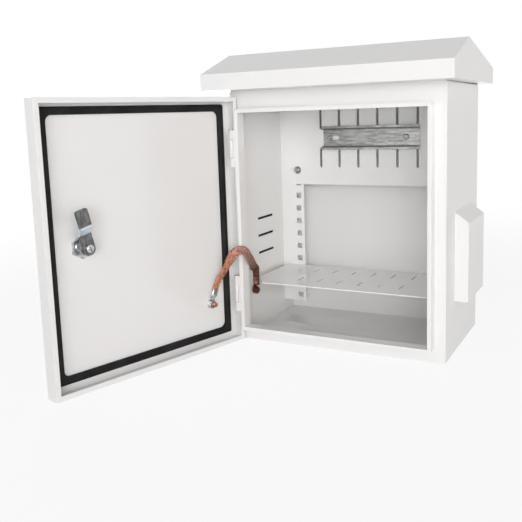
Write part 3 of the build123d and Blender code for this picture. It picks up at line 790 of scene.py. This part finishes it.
def shadePad(name, side, pad):
    (y0, z0), (y1, z1) = pad["low"], pad["high"]
    columns, rows = round((y1 - y0) / pad["step"]), round((z1 - z0) / pad["step"])
    bm = bmesh.new()
    bmesh.ops.create_grid(bm, x_segments=columns, y_segments=rows, size=0.5)
    bmesh.ops.scale(bm, verts=bm.verts, vec=(y1 - y0, z1 - z0, 1))
    back = bmesh.ops.extrude_face_region(bm, geom=list(bm.faces), use_keep_orig=True)["geom"]
    moved = [g for g in back if isinstance(g, bmesh.types.BMVert)]
    bmesh.ops.translate(bm, verts=moved, vec=(0, 0, pad["thickness"]))
    dentFaces(bm, pad)
    turn = Matrix(((0, 0, side), (1, 0, 0), (0, 1, 0))).to_4x4()
    centre = Matrix.Translation((side * pad["inner"], (y0 + y1) / 2, (z0 + z1) / 2))
    bmesh.ops.transform(bm, matrix=centre @ turn, verts=bm.verts)
    bmesh.ops.recalc_face_normals(bm, faces=bm.faces)
    newObject(name, bm, foam, "cabinet")


for padName, padSide in shadePads["sides"].items():
    shadePad(padName, padSide, shadePads)
print("caps and filter pads ready")


# copper braid: a flattened sleeve of strands woven two over, two under

braid = {
    "thickness": 0.0021,
    "around": 0.0232,  # way round the sleeve at its usual width
    "widths": [  # share of the way, metres
        (0.0, 0.0088), (0.2, 0.0094), (0.37, 0.0134), (0.47, 0.0114),
        (0.68, 0.0124), (0.88, 0.0112), (1.0, 0.0086),
    ],
    "facing": [  # share of the way, degrees round z of the flat side
        (0.0, -16), (0.12, -24), (0.34, -70), (0.40, -102),
        (0.47, -200), (0.68, -206), (0.82, -236), (1.0, -228),
    ],
    "carriers": 11,  # strands each way round
    "turnLength": 0.026,  # of the braid for one turn of a strand
    "strandThickness": 0.00046,
    "strandSection": ((-1, 0), (-0.6, 0.85), (0, 1.15), (0.6, 0.85), (1, 0), (0, -1)),  # in half sizes
    "cover": 0.94,  # how much of its room a strand fills
    "step": 0.0007,
    "curveSteps": 24,  # between two points of the route
    "route": [
        (-0.16045, -0.13068, 0.07784),
        (-0.15921, -0.12635, 0.08897),
        (-0.14932, -0.12201, 0.10402),
        (-0.14209, -0.12183, 0.11769),
        (-0.13575, -0.12136, 0.12693),
        (-0.13036, -0.11605, 0.13323),
        (-0.12462, -0.10777, 0.13215),
        (-0.12311, -0.10028, 0.12325),
        (-0.12412, -0.09014, 0.11293),
        (-0.12860, -0.07731, 0.10388),
        (-0.13628, -0.06272, 0.09725),
        (-0.14130, -0.04600, 0.09350),
        (-0.14230, -0.04500, 0.07930),
    ],
}


# middle line of the braid, as closely spaced points on one smooth curve
def braidLine(weave):
    curve = bpy.data.curves.new("braidLine", "CURVE")
    curve.dimensions = "3D"
    curve.resolution_u = weave["curveSteps"]
    spline = curve.splines.new("NURBS")
    spline.points.add(len(weave["route"]) - 1)
    for point, place in zip(spline.points, weave["route"]):
        point.co = (*place, 1)
    spline.order_u = 3
    spline.use_endpoint_u = True
    holder = bpy.data.objects.new("braidLine", curve)
    bpy.context.collection.objects.link(holder)
    bpy.context.view_layer.update()
    mesh = bpy.data.meshes.new_from_object(holder)
    points = [v.co.copy() for v in mesh.vertices]
    bpy.data.objects.remove(holder)
    return points


# value at a share of the way, eased between the stops
def alongStops(stops, share):
    for (a, first), (b, second) in zip(stops, stops[1:]):
        if share <= b:
            k = (share - a) / (b - a)
            return first + (second - first) * k * k * (3 - 2 * k)
    return stops[-1][1]


# place, side direction, outward direction and way so far, at even steps along the braid
def braidStations(weave, line):
    runs = [0.0]
    for a, b in zip(line, line[1:]):
        runs.append(runs[-1] + (b - a).length)
    total = runs[-1]
    count = round(total / weave["step"])
    stations = []
    k = 0
    for i in range(count + 1):
        run = total * i / count
        while k < len(runs) - 2 and runs[k + 1] < run:
            k += 1
        part = (run - runs[k]) / (runs[k + 1] - runs[k])
        here = line[k].lerp(line[k + 1], part)
        low, high = max(k - 2, 0), min(k + 3, len(line) - 1)  # a few points apart, for an even direction
        ahead = (line[high] - line[low]).normalized()
        angle = math.radians(alongStops(weave["facing"], run / total))
        face = Vector((math.cos(angle), math.sin(angle), 0))
        face = (face - face.dot(ahead) * ahead).normalized()
        stations.append((here, ahead.cross(face), face, run))
    return stations, total


# a point on a flat oval at a share of its way round, with the outward direction there
def ovalPoint(width, thickness, share):
    radius = thickness / 2
    flat = width - thickness
    bend = math.pi * radius
    run = (share % 1.0) * 2 * (flat + bend)
    if run < flat:
        return run - flat / 2, radius, 0.0, 1.0
    run -= flat
    if run < bend:
        t = run / radius
        return flat / 2 + radius * math.sin(t), radius * math.cos(t), math.sin(t), math.cos(t)
    run -= bend
    if run < flat:
        return flat / 2 - run, -radius, 0.0, -1.0
    t = (run - flat) / radius
    return -flat / 2 - radius * math.sin(t), -radius * math.cos(t), -math.sin(t), -math.cos(t)


# middle line of one strand, which lifts over the strands that it crosses and dips under them
def strandLine(weave, stations, total, way, index):
    count, thick = weave["carriers"], weave["strandThickness"]
    line = []
    for here, side, face, run in stations:
        width = alongStops(weave["widths"], run / total)
        share = index / count + way * run / weave["turnLength"]
        x, y, outX, outY = ovalPoint(width - 2 * thick, weave["thickness"] - 2 * thick, share)
        out = (side * outX + face * outY).normalized()
        crossing = 2 * count * run / weave["turnLength"] + way * 2 * index - 0.5
        lift = way * math.cos(math.pi / 2 * crossing) * thick / 2
        line.append((here + side * x + face * y + out * (lift + thick / 2), out))
    return line


# sections along one strand, square to its own direction
def strandRings(weave, line):
    climb = math.atan2(weave["around"], weave["turnLength"])
    half = weave["cover"] * weave["around"] / weave["carriers"] * math.cos(climb) / 2
    thick = weave["strandThickness"] / 2
    rings = []
    for i, (centre, out) in enumerate(line):
        ahead = (line[min(i + 1, len(line) - 1)][0] - line[max(i - 1, 0)][0]).normalized()
        side = ahead.cross(out).normalized()
        out = side.cross(ahead)
        rings.append([centre + side * half * a + out * thick * b for a, b in weave["strandSection"]])
    return rings


def addStrand(bm, uvLayer, rings, wireWidth):
    verts = [[bm.verts.new(place) for place in ring] for ring in rings]
    sides, last = len(rings[0]), len(rings) - 1
    for i, (near, far) in enumerate(zip(verts, verts[1:])):
        for j in range(sides):
            k = (j + 1) % sides
            quad = bm.faces.new((near[j], near[k], far[k], far[j]))
            corners = ((j, i), (j + 1, i), (j + 1, i + 1), (j, i + 1))
            for loop, (u, v) in zip(quad.loops, corners):
                loop[uvLayer].uv = (u * wireWidth, v / last)
    bm.faces.new(reversed(verts[0]))
    bm.faces.new(verts[-1])


# finish of the braid: bright at the door, darkened towards the wall with painted shade, fine wires in each
# strand

braidFinish = {
    "colours": [  # share of the way, colour; the darkening towards the wall end is painted shade
        (0.0, (0.74, 0.37, 0.21, 1)),
        (0.25, (0.52, 0.23, 0.14, 1)),
        (0.40, (0.63, 0.34, 0.27, 1)),
        (0.58, (0.52, 0.31, 0.24, 1)),
        (0.80, (0.36, 0.165, 0.115, 1)),
        (1.0, (0.16, 0.07, 0.055, 1)),
    ],
    "dark": (0.30, 0.26, 0.25, 1),
    "light": (1.3, 1.32, 1.34, 1),
    "roughness": (0.32, 0.5),
    "metallic": 0.8,
    "cloud": 330.0,
    "grain": 1300.0,
    "wireWidth": 0.45,  # of the pattern for one side of a strand
    "wireWander": 0.6,
    "wireDetail": 1.0,
    "wireShare": 0.3,  # of the tone
    "wireDepth": 0.00008,
    "wireStrength": 0.8,
}


def addWires(tree, uv, finish):
    wires = tree.nodes.new("ShaderNodeTexWave")
    wires.wave_profile = "SIN"
    wires.inputs["Scale"].default_value = 1.0
    wires.inputs["Distortion"].default_value = finish["wireWander"]
    wires.inputs["Detail"].default_value = finish["wireDetail"]
    tree.links.new(uv, wires.inputs["Vector"])
    return wires.outputs["Fac"]


# copper colour with painted shade, by the share of the way, which the UV map's second number holds
def addCopperAndShade(tree, uv, colours):
    split = tree.nodes.new("ShaderNodeSeparateXYZ")
    tree.links.new(uv, split.inputs["Vector"])
    ramp = tree.nodes.new("ShaderNodeValToRGB")
    stops = ramp.color_ramp.elements
    while len(stops) < len(colours):
        stops.new(0.5)
    for stop, (share, colour) in zip(stops, colours):
        stop.position = share
        stop.color = colour
    tree.links.new(split.outputs["Y"], ramp.inputs["Fac"])
    return ramp.outputs["Color"]


def braidMaterial(finish):
    material, tree, shader, vector = startMaterial("copperBraid")
    uv = tree.nodes.new("ShaderNodeUVMap")
    uv.uv_map = "along"
    wires = addWires(tree, uv.outputs["UV"], finish)
    copperAndShade = addCopperAndShade(tree, uv.outputs["UV"], finish["colours"])
    skin = placeGroup(tree, platedSkin, vector, Cloud=finish["cloud"], Grain=finish["grain"])
    tone = addMix(tree, finish["wireShare"], skin["Tone"], wires)
    shade = addMix(tree, tone, finish["dark"], finish["light"])
    tree.links.new(addMix(tree, 1.0, copperAndShade, shade, "MULTIPLY"), shader.inputs["Base Color"])
    rough = addRange(tree, skin["Gloss"], 0.0, 1.0, *finish["roughness"])
    tree.links.new(rough, shader.inputs["Roughness"])
    shader.inputs["Metallic"].default_value = finish["metallic"]
    addBump(tree, shader, wires, finish["wireDepth"], finish["wireStrength"])
    return material


def wovenBraid(weave, finish):
    line = braidLine(weave)
    stations, total = braidStations(weave, line)
    bm = bmesh.new()
    uvLayer = bm.loops.layers.uv.new("along")
    for way in (1, -1):
        for index in range(weave["carriers"]):
            rings = strandRings(weave, strandLine(weave, stations, total, way, index))
            addStrand(bm, uvLayer, rings, finish["wireWidth"])
    bmesh.ops.recalc_face_normals(bm, faces=bm.faces)
    print("braid strands", len(bm.faces), "faces")
    sleeve = newObject("earthBraid", bm, braidMaterial(finish), None)
    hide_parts("earth_strap")
    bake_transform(sleeve)
    print("braid", round(total, 4), "m long")


wovenBraid(braid, braidFinish)


# light, floor and backdrop

plainWhite = (1, 1, 1, 1)
studio = {
    "world": 0.2,
    "worldColour": (0.97, 0.985, 1.0, 1),
    "floorColour": (0.9, 0.9, 0.9, 1),
    "floorRoughness": 0.9,
    "floorRadius": 12,
    "floorSides": 64,
    "whiteNear": 0.88,  # share of plain white that the camera sees near the object
    "whiteFrom": (0.45, 1.5),  # metres from the middle over which that share grows to all
}
lamps = {
    "keyLamp": {
        "place": (0.8, -2.4, 0.35), "aim": (0, 0, 0.17), "size": 0.9, "power": 16, "colour": (1, 1, 1),
    },
    "frontLamp": {
        "place": (0.3, -2.5, 0.8), "aim": (0, 0, 0.17), "size": 1.0, "power": 6, "colour": (1, 1, 1),
    },
    "sideLamp": {
        "place": (1.7, -2.1, 0.5), "aim": (0, 0, 0.2), "size": 1.2, "power": 19, "colour": (1, 0.965, 0.94),
    },
    "rightLamp": {
        "place": (2.4, -1.4, 1.0), "aim": (0, 0, 0.2), "size": 1.6, "power": 10.5, "colour": (1, 0.90, 0.87),
    },
    "highLamp": {
        "place": (-0.9, -2.2, 2.3), "aim": (0, 0, 0.15), "size": 1.4, "power": 12, "colour": (1, 0.97, 0.95),
    },
    "backLamp": {
        "place": (-2.2, 1.9, 0.6), "aim": (0, 0, 0.2), "size": 1.8, "power": 28, "colour": (1, 1, 1),
    },
}


def addLamp(name, lamp):
    data = bpy.data.lights.new(name, "AREA")
    data.size = lamp["size"]
    data.energy = lamp["power"]
    data.color = lamp["colour"]
    made = bpy.data.objects.new(name, data)
    bpy.context.collection.objects.link(made)
    made.location = lamp["place"]
    toward = Vector(lamp["aim"]) - Vector(lamp["place"])
    made.rotation_euler = toward.to_track_quat("-Z", "Y").to_euler()


# one where the camera or a reflection looks straight at it
def lookedAt(tree):
    path = tree.nodes.new("ShaderNodeLightPath")
    seen = addMath(tree, "MAXIMUM", path.outputs["Is Camera Ray"], path.outputs["Is Glossy Ray"])
    return addMath(tree, "MAXIMUM", seen, path.outputs["Is Transmission Ray"])


def mixShaders(tree, factor, first, second, output):
    mix = tree.nodes.new("ShaderNodeMixShader")
    tree.links.new(factor, mix.inputs["Fac"])
    tree.links.new(first, mix.inputs[1])
    tree.links.new(second, mix.inputs[2])
    tree.links.new(mix.outputs["Shader"], tree.nodes[output].inputs["Surface"])


def addWorld(look):
    world = bpy.data.worlds.new("studio")
    bpy.context.scene.world = world
    world.use_nodes = True
    tree = world.node_tree
    light = tree.nodes["Background"]
    light.inputs["Color"].default_value = look["worldColour"]
    light.inputs["Strength"].default_value = look["world"]
    shown = tree.nodes.new("ShaderNodeBackground")
    shown.inputs["Color"].default_value = plainWhite
    mixShaders(tree, lookedAt(tree), light.outputs[0], shown.outputs[0], "World Output")


# most of what the camera sees of the floor is plain white, the rest keeps the shadow
def floorMaterial(look):
    material, tree, shader, vector = startMaterial("floor")
    shader.inputs["Base Color"].default_value = look["floorColour"]
    shader.inputs["Roughness"].default_value = look["floorRoughness"]
    glow = tree.nodes.new("ShaderNodeEmission")
    glow.inputs["Color"].default_value = plainWhite
    reach = tree.nodes.new("ShaderNodeVectorMath")
    reach.operation = "LENGTH"
    tree.links.new(vector, reach.inputs[0])
    white = addRange(tree, reach.outputs["Value"], *look["whiteFrom"], look["whiteNear"], 1.0, smooth=True)
    share = addMath(tree, "MULTIPLY", lookedAt(tree), white)
    mixShaders(tree, share, shader.outputs[0], glow.outputs[0], "Material Output")
    return material


def addFloor(look):
    bm = bmesh.new()
    bmesh.ops.create_circle(bm, cap_ends=True, segments=look["floorSides"], radius=look["floorRadius"])
    floor = newObject("floor", bm, floorMaterial(look), None, smooth=False)


addWorld(studio)
addFloor(studio)
for lampName, lampValues in lamps.items():
    addLamp(lampName, lampValues)
bpy.context.scene.view_settings.view_transform = "Standard"

print("scene ready")
